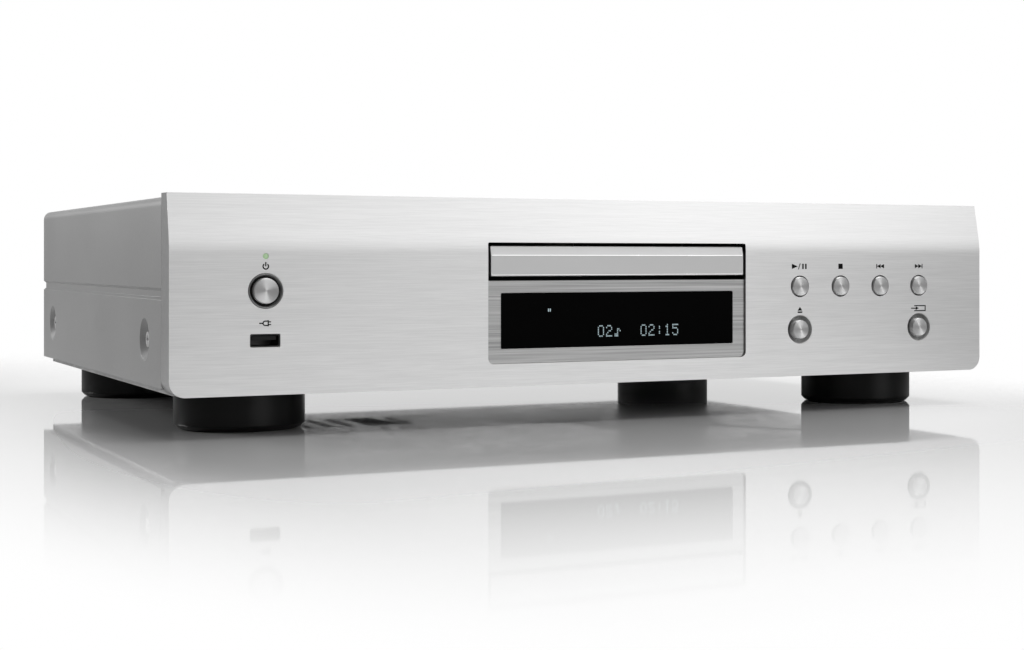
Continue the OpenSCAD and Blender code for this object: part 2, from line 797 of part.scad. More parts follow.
module disc_tray() {
    color("#232326") {
        difference() {
            union() {
                box([-tray_x, tray_front_y, tray_low], [tray_x, deck_end, tray_top]);
                for (s = [0, 1]) mirror([s, 0, 0]) {
                    box([49.5, deck_end - 1, tray_low], [tray_x, rail_end, tray_top]);
                    box([60, -148, plate_top + 0.2], [64, rail_end, tray_low + 0.1]);
                }
            }
            post(0, spindle_y, seat_r, seat_z, tray_top + 1, 120);
            post(0, spindle_y, small_r, seat_z - 1.2, tray_top + 1, 96);
            post(0, spindle_y - 3, slot_x, tray_low - 1, tray_top + 1, 64);
            box([-slot_x, spindle_y - 3, tray_low - 1], [slot_x, deck_end + 1, tray_top + 1]);
        }
        translate([0, 0, plate_top - 2.5]) linear_extrude(tray_low - plate_top + 2.6)
            polygon(rack_points());
    }
}

// Metal front of the tray with its upper band leaning back
module tray_front() {
    low = 70.2;
    high = 84.4;
    color("#c6c7c9") intersection() {
        along_x([[front_y + 0.5, low], [front_y + 0.2, low + 0.3], [front_y + 0.2, 80.2],
            [front_y + 1.2, high - 0.3], [front_y + 1.5, high], [tray_front_y - 0.05, high],
            [tray_front_y - 0.05, low]], -69, 69);
        along_y(front_y - 1, tray_front_y) round_rect(-68.3, low, 68.3, high, 0.6);
    }
}

// --- loading drive ---

module loading_motor() {
    color("#9a9c9e") {
        post(motor_x, pulley_y, 10.5, 38, 56.9);
        post(motor_x, pulley_y, 1, 56.8, belt_z + 2.2);
    }
}

module motor_pulley() {
    color("#e0d8c0") translate([motor_x, pulley_y, belt_z]) difference() {
        rotate_extrude($fn = 48)
            polygon([[0, -1.6], [motor_pulley_r + 1, -1.6], [motor_pulley_r + 1, -1.2],
                [motor_pulley_r, -0.8], [motor_pulley_r, 0.8], [motor_pulley_r + 1, 1.2],
                [motor_pulley_r + 1, 1.6], [0, 1.6]]);
        translate([0, 0, -3]) cylinder(r = 1.02, h = 8, $fn = 32);
    }
}

// Rubber belt around both pulleys
module drive_belt() {
    color("#0c0c0c") translate([0, 0, belt_z - 0.6]) linear_extrude(1.2) difference() {
        hull() {
            translate([motor_x, pulley_y]) circle(r = motor_pulley_r + 1.35, $fn = 48);
            translate([pulley_x, pulley_y]) circle(r = pulley_r + 1.35, $fn = 96);
        }
        hull() {
            translate([motor_x, pulley_y]) circle(r = motor_pulley_r + 0.15, $fn = 48);
            translate([pulley_x, pulley_y]) circle(r = pulley_r + 0.15, $fn = 96);
        }
    }
}

module pulley_gear() {
    color("#e8e4d8") translate([pulley_x, pulley_y, 0]) difference() {
        union() {
            translate([0, 0, belt_z]) rotate_extrude($fn = 64)
                polygon([[0, -1.5], [pulley_r + 1, -1.5], [pulley_r + 1, -1.2],
                    [pulley_r, -0.8], [pulley_r, 0.8], [pulley_r + 1, 1.2],
                    [pulley_r + 1, 1.5], [0, 1.5]]);
            translate([0, 0, belt_z + 1.4])
                gear(pinion_r, 10, 4.8, mesh_deg - 180 + 18);
        }
        translate([0, 0, 50]) cylinder(r = 1.55, h = 30, $fn = 32);
    }
}

module loading_gear() {
    color("#e8e4d8") translate([gear_x, gear_y, 0]) difference() {
        union() {
            translate([0, 0, 64.5]) gear(wheel_r, 32, 3, mesh_deg);
            translate([0, 0, 67.4]) cylinder(r = 9, h = 2.2, $fn = 64);
            translate([0, 0, 69.5]) gear(rack_r, 24, 2.8);
        }
        translate([0, 0, 50]) cylinder(r = 1.55, h = 30, $fn = 32);
    }
}

// Sliding plate whose slanted slots lower the traverse
module cam_slider() {
    angle = atan2(pin_drop, slide_x);
    run = sqrt(pin_drop * pin_drop + slide_x * slide_x);
    color("#e8e4d8") difference() {
        box([-62, slider_y[0], slider_z[0]], [46, slider_y[1], slider_z[1]]);
        for (x = [-pin_x, pin_x]) {
            for (t = [0, 1])
                rod_y(x - t * slide_x, pin_z - t * pin_drop, 1.8, slider_y[0] - 1, slider_y[1] + 1);
            translate([x, 0, pin_z]) rotate([0, 180 - angle, 0])
                box([0, slider_y[0] - 1, -1.8], [run, slider_y[1] + 1, 1.8]);
        }
    }
}

// --- traverse with spindle and pickup ---
rod_x0 = 22;
rod_z = 67;
lens_y = spindle_y + 30;
screw_x = -31;
screw_z = 62;

module traverse_frame() {
    color("#2c2c30") difference() {
        union() {
            box([-36, slider_y[1] + 0.6, 60], [36, hinge_y + 3, 64]);
            for (x = [-rod_x0, rod_x0]) {
                box([x - 3, -73, 63.9], [x + 3, -70, rod_z + 3]);
                box([x - 3, -4, 63.9], [x + 3, -1, rod_z + 3]);
            }
            for (x = [-pin_x, pin_x]) {
                box([x - 2, slider_y[1] + 0.6, 55.5], [x + 2, slider_y[1] + 4, 60.1]);
                rod_y(x, pin_z, 1.5, slider_y[0] + 0.2, slider_y[1] + 1);
            }
            rod_x(hinge_y, hinge_z, 2, -43.5, 43.5);
        }
        box([-34.5, -70, 59], [27, -4, 65]);
        box([screw_x - 6.3, -100, 55], [screw_x + 6.3, -76.5, 65]);
        rod_y(screw_x, screw_z, 1.6, -78, -2);
        post(0, spindle_y, 3, 59, 65);
        for (x = [-rod_x0, rod_x0]) rod_y(x, rod_z, 1.5, -74, 0);
    }
}

module spindle_motor() {
    color("#a8aaac") {
        post(0, spindle_y, 12, 49, 59.98, 64);
        post(0, spindle_y, 1, 59.9, disc_z - 2);
    }
}

module turntable() {
    color("#18181a") translate([0, spindle_y, 0]) difference() {
        rotate_extrude($fn = 96)
            polygon([[0, 65.5], [7, 65.5], [7, disc_z - 3], [15, disc_z - 2.4], [15, disc_z],
                [7.4, disc_z], [7.3, disc_z + 1.6], [6, disc_z + 2.8], [0, disc_z + 2.8]]);
        translate([0, 0, 60]) cylinder(r = 1.02, h = disc_z - 61.9, $fn = 32);
    }
}

module guide_rods() {
    color("#d4d6d8") for (x = [-rod_x0, rod_x0]) rod_y(x, rod_z, 1.48, -73, -1);
}

module sled_motor() {
    color("#a8aaac") rod_y(screw_x, screw_z, 5.9, -99.8, -77, 64);
}

module lead_screw() {
    color("#c0c2c4") rod_y(screw_x, screw_z, 1.5, -76.9, -2.6);
}

module optical_pickup() {
    color("#3a3c40") difference() {
        union() {
            box([-25.5, lens_y - 6, 57], [25.5, lens_y + 16, 65.5]);
            box([-25.5, lens_y - 6, 65.4], [25.5, lens_y + 16, 71]);
            box([-34, lens_y, 59.6], [-25.4, lens_y + 9, 65.5]);
            post(0, lens_y, 6.4, 70.9, 73.5);
        }
        for (x = [-rod_x0, rod_x0]) rod_y(x, rod_z, 1.53, lens_y - 10, lens_y + 20);
        rod_y(screw_x, screw_z, 1.56, lens_y - 10, lens_y + 20);
        post(0, lens_y, 4.2, 72, 75);
    }
    color("#6a7fd0") translate([0, lens_y, 72]) intersection() {
        cylinder(r = 4, h = 3, $fn = 48);
        translate([0, 0, -6]) sphere(r = 8, $fn = 64);
    }
}

bottom_chassis();
rear_panel();
top_cover();
front_panel();
front_frame();
display_bezel();
display_window();
display_tube();
display_board();
power_ring();
power_button();
led_lens();
play_pause_button();
stop_button();
previous_button();
next_button();
eject_button();
source_button();
button_collars();
tact_switches();
key_boards();
usb_shell();
usb_tongue();
foot_front_left();
foot_front_right();
foot_rear_left();
foot_rear_right();
foot_pads();
case_screws();
main_board();
power_board();
board_components();
heat_sink();
transformer_core();
transformer_coil();
phono_sockets();
phono_blocks();
optical_socket();
remote_sockets();
mains_inlet();
flat_cables();
loader_base();
loader_brackets();
clamp_bridge();
clamp_puck();
disc_tray();
tray_front();
loading_motor();
motor_pulley();
drive_belt();
pulley_gear();
loading_gear();
cam_slider();
traverse_frame();
spindle_motor();
turntable();
guide_rods();
sled_motor();
lead_screw();
optical_pickup();
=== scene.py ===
"""Looks of the full-width CD player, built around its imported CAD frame.

Metres, +Z up, front faces -Y.
"""

import json
import math

import bmesh
import bpy
from mathutils import Matrix, Vector


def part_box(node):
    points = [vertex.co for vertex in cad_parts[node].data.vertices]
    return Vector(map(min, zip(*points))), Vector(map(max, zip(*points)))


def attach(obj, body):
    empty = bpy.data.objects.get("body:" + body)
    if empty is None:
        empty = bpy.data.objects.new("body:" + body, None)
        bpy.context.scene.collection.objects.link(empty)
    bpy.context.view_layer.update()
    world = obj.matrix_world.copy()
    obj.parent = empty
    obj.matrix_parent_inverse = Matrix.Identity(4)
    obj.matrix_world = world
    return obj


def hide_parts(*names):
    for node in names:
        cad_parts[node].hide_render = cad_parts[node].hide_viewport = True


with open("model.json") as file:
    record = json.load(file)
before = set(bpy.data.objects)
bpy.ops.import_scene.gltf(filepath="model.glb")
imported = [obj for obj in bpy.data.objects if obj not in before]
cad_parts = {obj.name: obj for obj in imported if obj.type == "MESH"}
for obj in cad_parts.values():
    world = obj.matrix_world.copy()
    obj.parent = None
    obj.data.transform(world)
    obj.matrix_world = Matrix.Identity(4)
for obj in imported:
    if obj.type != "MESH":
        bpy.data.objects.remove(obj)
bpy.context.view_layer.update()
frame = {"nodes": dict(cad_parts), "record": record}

MM = 0.001
SCENE = bpy.context.scene
NODES = frame["nodes"]
BODIES = frame["record"]["behaviour"]["bodies"]
BODY_OF = {node: body for body, members in BODIES.items() for node in members}
SLOT_OF = {part["node"]: part["material_slot"] for part in frame["record"]["subparts"]}

# ---------------------------------------------------------------- places taken from the frame


def low(node):
    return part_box(node)[0]


def high(node):
    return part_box(node)[1]


def middle(node):
    a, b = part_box(node)
    return (a + b) / 2


FACE_Y = low("front_panel").y
REAR_Y = high("rear_panel").y

# ---------------------------------------------------------------- camera

# Place in metres, turn away from +Y, lens in millimetres, shift as a share of the picture's width
CAMERA_PLACE = (-0.3917, -0.9354, 0.0783)
CAMERA_TURN = math.radians(28.08)
CAMERA_LENS = 62.87
CAMERA_SHIFT = (-0.1441, -0.0645)


def make_camera():
    data = bpy.data.cameras.new("camera")
    data.lens = CAMERA_LENS
    data.sensor_width = 36
    data.shift_x, data.shift_y = CAMERA_SHIFT
    data.clip_start = 0.01
    camera = bpy.data.objects.new("camera", data)
    camera.location = CAMERA_PLACE
    camera.rotation_euler = (math.pi / 2, 0, -CAMERA_TURN)
    SCENE.collection.objects.link(camera)
    SCENE.camera = camera


# ---------------------------------------------------------------- material tools


class Graph:
    """Adds nodes to one material and joins them to its Principled shader."""

    def __init__(self, name, colour, rough, metallic=0.0, **sockets):
        self.material = bpy.data.materials.new(name)
        self.material.use_nodes = True
        self.tree = self.material.node_tree
        self.shader = self.tree.nodes["Principled BSDF"]
        self.set("Base Color", (*colour, 1))
        self.set("Roughness", rough)
        self.set("Metallic", metallic)
        for socket, value in sockets.items():
            self.set(socket.replace("_", " "), value)
        self.place = self.add("ShaderNodeTexCoord").outputs["Object"]

    def set(self, socket, value):
        self.shader.inputs[socket].default_value = value

    def add(self, kind, **settings):
        node = self.tree.nodes.new(kind)
        for key, value in settings.items():
            setattr(node, key, value)
        return node

    def link(self, source, target):
        self.tree.links.new(source, target)

    def noise(self, scale, detail=3, rough=0.55):
        """Noise whose grain is 1/scale metres along each axis, as a value from 0 to 1."""
        mapping = self.add("ShaderNodeMapping")
        mapping.inputs["Scale"].default_value = scale
        self.link(self.place, mapping.inputs["Vector"])
        texture = self.add("ShaderNodeTexNoise")
        texture.inputs["Scale"].default_value = 1
        texture.inputs["Detail"].default_value = detail
        texture.inputs["Roughness"].default_value = rough
        self.link(mapping.outputs["Vector"], texture.inputs["Vector"])
        return texture.outputs["Fac"]

    def mix(self, a, b, share=0.5):
        node = self.add("ShaderNodeMix")
        node.inputs[0].default_value = share
        self.link(a, node.inputs[2])
        self.link(b, node.inputs[3])
        return node.outputs[0]

    def shade(self, value, dark, light, start=0.3, end=0.7):
        """Colours the surface between dark and light by a value."""
        ramp = self.add("ShaderNodeValToRGB")
        ramp.color_ramp.elements[0].position = start
        ramp.color_ramp.elements[0].color = (*dark, 1)
        ramp.color_ramp.elements[1].position = end
        ramp.color_ramp.elements[1].color = (*light, 1)
        self.link(value, ramp.inputs["Fac"])
        self.link(ramp.outputs["Color"], self.shader.inputs["Base Color"])

    def roughen(self, value, smooth, rough):
        span = self.add("ShaderNodeMapRange")
        span.inputs["From Min"].default_value = 0.3
        span.inputs["From Max"].default_value = 0.7
        span.inputs["To Min"].default_value = smooth
        span.inputs["To Max"].default_value = rough
        self.link(value, span.inputs["Value"])
        self.link(span.outputs["Result"], self.shader.inputs["Roughness"])

    def bump(self, value, depth, strength):
        node = self.add("ShaderNodeBump")
        node.inputs["Strength"].default_value = strength
        node.inputs["Distance"].default_value = depth
        self.link(value, node.inputs["Height"])
        self.link(node.outputs["Normal"], self.shader.inputs["Normal"])

    def grain(self, axis):
        """Turns the anisotropic highlight round an axis of the piece."""
        tangent = self.add("ShaderNodeTangent", direction_type="RADIAL", axis=axis)
        self.link(tangent.outputs["Tangent"], self.shader.inputs["Tangent"])


def tone(value):
    """A neutral grey."""
    return (value, value, value)


def brushed_metal(name, grey, rough, contrast, anisotropy, line=1500, reach=60):
    """Sheet brushed along X: short fine streaks over a faint broader banding."""
    g = Graph(name, tone(grey), rough, 1.0, Anisotropic=anisotropy, Anisotropic_Rotation=0.25)
    fine = g.noise((reach, line * 1.5, line * 1.5), 3)
    broad = g.noise((reach * 0.25, line * 0.25, line * 0.25), 4)
    streaks = g.mix(fine, broad, 0.4)
    g.shade(streaks, tone(grey * (1 - contrast)), tone(grey * (1 + contrast)), 0.35, 0.65)
    g.roughen(streaks, rough * 0.92, rough * 1.1)
    g.bump(fine, 0.003 * MM, 0.3)
    g.grain("Z")
    return g.material


def spun_metal(name, grey, rough, anisotropy):
    """Turned face: fine rings round the piece's own Z axis."""
    g = Graph(name, tone(grey), rough, 1.0, Anisotropic=anisotropy, Anisotropic_Rotation=0.25)
    rings = g.add("ShaderNodeTexWave", wave_type="RINGS", rings_direction="Z")
    rings.inputs["Scale"].default_value = 1400
    rings.inputs["Distortion"].default_value = 0.3
    g.link(g.place, rings.inputs["Vector"])
    speckle = g.noise((300, 300, 300), 2)
    value = g.mix(rings.outputs["Fac"], speckle, 0.5)
    g.shade(value, tone(grey * 0.97), tone(grey * 1.03), 0.2, 0.8)
    g.roughen(speckle, rough * 0.93, rough * 1.07)
    g.grain("Z")
    return g.material


def painted_sheet(name, colour, rough, speckle, texture, metal=0.0):
    """Powder or wet paint on sheet steel: fine orange peel with faint tonal drift."""
    g = Graph(name, colour, rough, metal)
    peel = g.noise((1500, 1500, 1500), 3)
    drift = g.noise((9, 9, 9), 3)
    value = g.mix(peel, drift, 0.45)
    dark = tuple(c * (1 - speckle) for c in colour)
    light = tuple(c * (1 + speckle) for c in colour)
    g.shade(value, dark, light)
    g.roughen(drift, rough * 0.93, rough * 1.07)
    g.bump(peel, texture * MM, 0.5)
    return g.material


def moulded(name, colour, rough, grain=2200, depth=0.01, **sockets):
    """Moulded plastic or rubber with a fine spark-eroded grain."""
    g = Graph(name, colour, rough, 0.0, **sockets)
    pits = g.noise((grain, grain, grain), 2)
    drift = g.noise((30, 30, 30), 3)
    value = g.mix(pits, drift, 0.5)
    g.shade(value, tuple(c * 0.85 for c in colour), tuple(c * 1.15 for c in colour))
    g.roughen(drift, rough * 0.9, rough * 1.1)
    g.bump(pits, depth * MM, 0.4)
    return g.material


def plated(name, colour, rough, grain=400):
    """Plated or bare metal with small handling marks."""
    g = Graph(name, colour, rough, 1.0)
    marks = g.noise((grain, grain, grain), 5, 0.7)
    drift = g.noise((45, 45, 45), 3)
    value = g.mix(marks, drift)
    g.shade(value, tuple(c * 0.9 for c in colour), tuple(min(c * 1.06, 1) for c in colour))
    g.roughen(value, rough * 0.75, rough * 1.35)
    g.bump(marks, 0.002 * MM, 0.3)
    return g.material


def zinc(name):
    """Zinc-plated steel with its crystal spangle."""
    g = Graph(name, tone(0.6), 0.38, 1.0)
    cells = g.add("ShaderNodeTexVoronoi", feature="F1")
    cells.inputs["Scale"].default_value = 160
    g.link(g.place, cells.inputs["Vector"])
    drift = g.noise((60, 60, 60), 4)
    value = g.mix(cells.outputs["Distance"], drift, 0.6)
    g.shade(value, tone(0.5), tone(0.66), 0.2, 0.7)
    g.roughen(value, 0.3, 0.46)
    g.bump(drift, 0.004 * MM, 0.3)
    return g.material


def circuit_board(name):
    """Green solder mask with tracks showing under it as low ridges."""
    g = Graph(name, (0.02, 0.13, 0.05), 0.35, 0.0, Coat_Weight=0.3, Coat_Roughness=0.2)
    tracks = g.add("ShaderNodeTexBrick")
    tracks.inputs["Scale"].default_value = 130
    tracks.inputs["Mortar Size"].default_value = 0.12
    g.link(g.place, tracks.inputs["Vector"])
    drift = g.noise((200, 200, 200), 4)
    value = g.mix(tracks.outputs["Fac"], drift, 0.35)
    g.shade(value, (0.012, 0.09, 0.035), (0.04, 0.22, 0.08), 0.2, 0.8)
    g.bump(tracks.outputs["Fac"], 0.03 * MM, 0.6)
    return g.material


def glowing(name, colour, strength, base=(0.02, 0.02, 0.02)):
    """Lit dots or lens with a soft unevenness from dot to dot."""
    g = Graph(name, base, 0.3, 0.0, Emission_Strength=strength)
    flicker = g.noise((900, 900, 900), 2)
    ramp = g.add("ShaderNodeValToRGB")
    ramp.color_ramp.elements[0].position = 0.3
    ramp.color_ramp.elements[0].color = (*tuple(c * 0.8 for c in colour), 1)
    ramp.color_ramp.elements[1].position = 0.7
    ramp.color_ramp.elements[1].color = (*colour, 1)
    g.link(flicker, ramp.inputs["Fac"])
    g.link(ramp.outputs["Color"], g.shader.inputs["Emission Color"])
    return g.material


MATERIALS = {
    "panel": brushed_metal("panel_aluminium", 0.72, 0.32, 0.06, 0.62),
    "tray_metal": brushed_metal("tray_aluminium", 0.66, 0.48, 0.012, 0.4, 2400),
    "polished": plated("polished_edge", tone(0.95), 0.3),
    "bezel": brushed_metal("bezel_aluminium", 0.42, 0.32, 0.3, 0.6, 1300, 16),
    "cover": painted_sheet("cover_paint", tone(0.44), 0.42, 0.08, 0.008, 0.15),
    "rear": painted_sheet("rear_paint", tone(0.018), 0.5, 0.15, 0.02),
    "zinc": zinc("zinc_steel"),
    "spun": spun_metal("spun_cap", 0.74, 0.42, 0.98),
    "collar": plated("turned_collar", tone(0.50), 0.2, 200),
    "ring": plated("dark_chrome", tone(0.30), 0.12, 200),
    "plate": plated("bright_plate", tone(0.75), 0.4),
    # The USB socket's plating is darkened well below bright nickel: painted shade for the shade
    # inside the socket.
    "socket": plated("socket_plate_and_painted_shade", tone(0.10), 0.4),
    "gold": plated("gold_plate", (0.85, 0.60, 0.22), 0.2),
    "black": moulded("black_plastic", tone(0.010), 0.5, Specular_IOR_Level=0.3),
    "foot": moulded("foot_plastic", tone(0.006), 0.30, 2600, 0.004, Specular_IOR_Level=0.22),
    "rubber": moulded("pad_rubber", tone(0.012), 0.85, 1200, 0.03, Specular_IOR_Level=0.2),
    "gloss": moulded("window_acrylic", tone(0.0012), 0.06, 60, 0.0004, Specular_IOR_Level=0.02),
    "natural": moulded("natural_acetal", (0.72, 0.69, 0.60), 0.42),
    "package": moulded("component_sleeve", (0.03, 0.03, 0.04), 0.4, 900),
    "white": moulded("white_insulator", (0.75, 0.75, 0.73), 0.35),
    "red": moulded("red_insulator", (0.55, 0.02, 0.02), 0.35),
    "orange": moulded("orange_insulator", (0.75, 0.22, 0.02), 0.35),
    "ink": moulded("panel_ink", tone(0.006), 0.7, 3000, Specular_IOR_Level=0.1),
    "white_ink": moulded("rear_ink", tone(0.6), 0.5, 3000),
    "board": circuit_board("circuit_board"),
    "core": painted_sheet("core_lacquer", tone(0.05), 0.5, 0.3, 0.05),
    "copper": plated("coil_wrap", (0.62, 0.25, 0.08), 0.35, 900),
    "cable": moulded("flat_cable", (0.72, 0.71, 0.66), 0.5, 500, 0.02),
    "digits": glowing("display_dots", (0.62, 0.80, 0.86), 0.7),
    "led": glowing("led_glow", (0.42, 0.62, 0.36), 0.45, (0.30, 0.42, 0.26)),
}

# ---------------------------------------------------------------- mesh tools

# Bends sharper than SMOOTH_ANGLE stay creases, and flatter than FLAT_ANGLE make one face. Points
# closer than SAME_PLACE metres are one, and a radius below ON_AXIS millimetres is on the axis.
SMOOTH_ANGLE = math.radians(32)
FLAT_ANGLE = math.radians(0.4)
SAME_PLACE = 1e-6
ON_AXIS = 1e-6
FRONTWARD = Matrix.Rotation(math.pi / 2, 4, "X")
REARWARD = Matrix.Rotation(-math.pi / 2, 4, "X")
UPWARD = Matrix.Identity(4)


def finish_piece(name, mesh, material, body, place=None, stands_for=None, slot=None):
    """Puts a mesh in the scene, riding on a body, and hides the CAD node that it stands for."""
    mesh.materials.clear()
    mesh.materials.append(MATERIALS[material])
    mesh.shade_smooth()
    mesh.set_sharp_from_angle(angle=SMOOTH_ANGLE)
    piece = bpy.data.objects.new(name, mesh)
    SCENE.collection.objects.link(piece)
    if place is not None:
        piece.matrix_world = place
    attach(piece, body)
    if stands_for:
        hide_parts(stands_for)
        slot = slot or SLOT_OF[stands_for]
    return piece


def rounded(points, steps=4):
    """Points [r, h] or [r, h, fillet] as a list of [r, h] with each filleted corner as a curve."""
    outline = []
    count = len(points)
    for k, point in enumerate(points):
        here = Vector(point[:2])
        fillet = point[2] if len(point) > 2 else 0
        if not fillet:
            outline.append(here)
            continue
        start = here + (Vector(points[k - 1][:2]) - here).normalized() * fillet
        end = here + (Vector(points[(k + 1) % count][:2]) - here).normalized() * fillet
        for step in range(steps + 1):
            t = step / steps
            outline.append(start * (1 - t) ** 2 + here * 2 * t * (1 - t) + end * t * t)
    return outline


def lathe(name, points, centre, turn, material, body, stands_for=None, slot=None, sides=96):
    """A closed outline [r, h, fillet] in millimetres, turned round the piece's own Z axis."""
    outline = rounded(points)
    work = bmesh.new()
    rings = []
    for r, h in outline:
        if r < ON_AXIS:
            rings.append([work.verts.new((0, 0, h * MM))] * sides)
            continue
        rings.append([
            work.verts.new((r * MM * math.cos(a), r * MM * math.sin(a), h * MM))
            for a in (2 * math.pi * k / sides for k in range(sides))
        ])
    for k, ring in enumerate(rings):
        nxt = rings[(k + 1) % len(rings)]
        if ring[0] is ring[1] and nxt[0] is nxt[1]:
            continue
        for i in range(sides):
            j = (i + 1) % sides
            corners = [ring[i], ring[j], nxt[j], nxt[i]]
            distinct = [v for n, v in enumerate(corners) if v not in corners[:n]]
            if len(distinct) > 2:
                work.faces.new(distinct)
    bmesh.ops.recalc_face_normals(work, faces=work.faces)
    mesh = bpy.data.meshes.new(name)
    work.to_mesh(mesh)
    work.free()
    place = Matrix.Translation(centre) @ turn
    return finish_piece(name, mesh, material, body, place, stands_for, slot)


def prism(work, loop, y0, y1):
    """Adds a solid to work: an outline of [x, z] metres from y0 to y1."""
    front = [work.verts.new((x, y0, z)) for x, z in loop]
    back = [work.verts.new((x, y1, z)) for x, z in loop]
    work.faces.new(front)
    work.faces.new(list(reversed(back)))
    for k in range(len(loop)):
        j = (k + 1) % len(loop)
        work.faces.new([front[k], back[k], back[j], front[j]])


def ink(name, loops, centre, y, material, body, slot, thick=0.03):
    """Printed marks standing just off a face at y.

    The outlines are [x, z] in millimetres round a centre (x, z) in metres.
    """
    side = -1 if y < 0 else 1
    work = bmesh.new()
    for loop in loops:
        points = [(centre[0] + x * MM, centre[1] + z * MM) for x, z in loop]
        prism(work, points, y, y + side * thick * MM)
    bmesh.ops.recalc_face_normals(work, faces=work.faces)
    mesh = bpy.data.meshes.new(name)
    work.to_mesh(mesh)
    work.free()
    finish_piece(name, mesh, material, body, slot=slot)


def refined(node, material, width, limit, edge):
    """The CAD node's own shape with rounded edges, in their own material when one is named."""
    mesh = NODES[node].data.copy()
    if "custom_normal" in mesh.attributes:
        mesh.attributes.remove(mesh.attributes["custom_normal"])
    work = bmesh.new()
    work.from_mesh(mesh)
    bmesh.ops.remove_doubles(work, verts=work.verts, dist=SAME_PLACE)
    bmesh.ops.dissolve_limit(work, angle_limit=FLAT_ANGLE, verts=work.verts, edges=work.edges)
    work.to_mesh(mesh)
    work.free()
    piece = finish_piece(node + "_finished", mesh, material, BODY_OF[node], stands_for=node)
    mesh.set_sharp_from_angle(angle=math.radians(limit))
    bevel = piece.modifiers.new("edges", "BEVEL")
    bevel.width = width * MM
    bevel.segments = 2
    bevel.limit_method = "ANGLE"
    bevel.angle_limit = math.radians(limit)
    bevel.miter_outer = "MITER_ARC"
    bevel.use_clamp_overlap = True
    if edge:
        mesh.materials.append(MATERIALS[edge])
        bevel.material = 1


# ---------------------------------------------------------------- casing

# Node: material, edge rounding in millimetres, smallest angle that counts as an edge, edge material
CASING_EDGES = {
    "front_panel": ("panel", 0.3, 35, None),
    "top_cover": ("cover", 0.3, 35, None),
    "rear_panel": ("rear", 0.15, 35, None),
    "bottom_chassis": ("zinc", 0.2, 35, None),
    "tray_front": ("tray_metal", 0.2, 8, "polished"),
    "display_bezel": ("bezel", 0.2, 35, None),
    "display_window": ("gloss", 0.15, 35, None),
    "case_screws": ("plate", 0.12, 35, None),
    # The socket material darkens the USB shell as painted shade for the shade inside the socket.
    "usb_shell": ("socket", 0.06, 35, None),
    "optical_socket": ("black", 0.2, 35, None),
    "remote_sockets": ("black", 0.25, 35, None),
    "mains_inlet": ("black", 0.25, 35, None),
}


def make_casing():
    for node, (material, width, limit, edge) in CASING_EDGES.items():
        refined(node, material, width, limit, edge)


# ---------------------------------------------------------------- feet

# Outlines [r, h, fillet] in millimetres, counted from the floor
FOOT_TOP = 18.5
FOOT_OUTLINE = [
    (2.1, 14, 0.2), (2.1, FOOT_TOP), (29.9, FOOT_TOP, 0.3), (29.9, 2.5, 0.5), (27.9, 0.5, 0.3),
    (26, 0.5, 0.1), (26, 2.4), (18, 2.4), (18, 0.5, 0.1), (15, 0.5, 0.3), (15, 14, 0.6),
]
PAD_OUTLINE = [(18.1, 0.02, 0.3), (25.9, 0.02, 0.3), (25.9, 2.38), (18.1, 2.38)]


def make_feet():
    pads = None
    for name in ("front_left", "front_right", "rear_left", "rear_right"):
        node = "foot_" + name
        centre = middle(node)
        centre.z = 0
        lathe(node + "_turned", FOOT_OUTLINE, centre, UPWARD, "foot", "casing", node, sides=160)
        pad = lathe(
            "pad_" + name, PAD_OUTLINE, centre, UPWARD, "rubber", "casing", slot="pad_rubber")
        pads = pads or pad
    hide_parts("foot_pads")


# ---------------------------------------------------------------- buttons and rings

# Stem radius, then heights counted from the panel's face, in millimetres
STEM = 3
STEM_END = -8.9
FLANGE_BACK = -8.0
FLANGE_FRONT = -7.1
CAP_BACK = -2.6
CAP_RISE = 1.18

# Node: cap radius, flange radius, edge rounding, depth of the hollow face
CAPS = {
    "play_pause_button": (4.8, 7.1, 0.35, 0.12),
    "stop_button": (4.8, 7.1, 0.35, 0.12),
    "previous_button": (4.8, 7.1, 0.35, 0.12),
    "next_button": (4.8, 7.1, 0.35, 0.12),
    "eject_button": (4.7, 6.0, 0.35, 0.12),
    "source_button": (4.7, 6.0, 0.35, 0.12),
    "power_button": (5.6, 6.8, 0.5, 0.2),
}


def button_outline(r, flange, edge, hollow):
    """Turned cap on a stem with its retaining flange."""
    return [
        (0, STEM_END), (STEM, STEM_END), (STEM, FLANGE_BACK), (flange, FLANGE_BACK, 0.2),
        (flange, FLANGE_FRONT, 0.2), (STEM, FLANGE_FRONT), (STEM, CAP_BACK), (r, CAP_BACK, 0.2),
        (r, CAP_RISE, edge), (r - edge - 0.2, CAP_RISE, 0.15), (0, CAP_RISE - hollow),
    ]


def place_turned(name, outline, node_middle, material, body, stands_for=None, slot=None):
    """A turned piece on a node's axis, its heights counted from the panel's face."""
    centre = node_middle.copy()
    centre.y = FACE_Y
    return lathe(name, outline, centre, FRONTWARD, material, body, stands_for, slot, sides=128)


def make_buttons():
    for node, sizes in CAPS.items():
        outline = button_outline(*sizes)
        place_turned(node + "_turned", outline, middle(node), "spun", BODY_OF[node], node)


# Outlines [r, h, fillet] in millimetres, heights counted from the panel's face
COLLAR_OUTLINE = [
    (7.25, -5.9), (7.25, -0.3, 0.1), (7.05, -0.3, 0.08), (6.3, -1.2, 0.5), (5.2, -2.2, 0.15),
    (5.0, -2.2), (5.0, -5.9),
]
POWER_RING_OUTLINE = [
    (7.6, -5.9), (7.6, 0.24, 0.12), (7.25, 0.24, 0.1), (6.7, -0.5, 0.3), (6.45, -1.0, 0.1),
    (6.45, -5.9),
]
POWER_LINER_OUTLINE = [(6.44, -5.9), (6.44, -0.9, 0.1), (5.86, -1.2, 0.1), (5.86, -5.9)]
LENS_OUTLINE = [
    (0, -14.4), (1.6, -14.4), (1.6, -6.5), (1.25, -6.5), (1.25, -0.25, 0.3), (0, 0.0, 0.3),
]


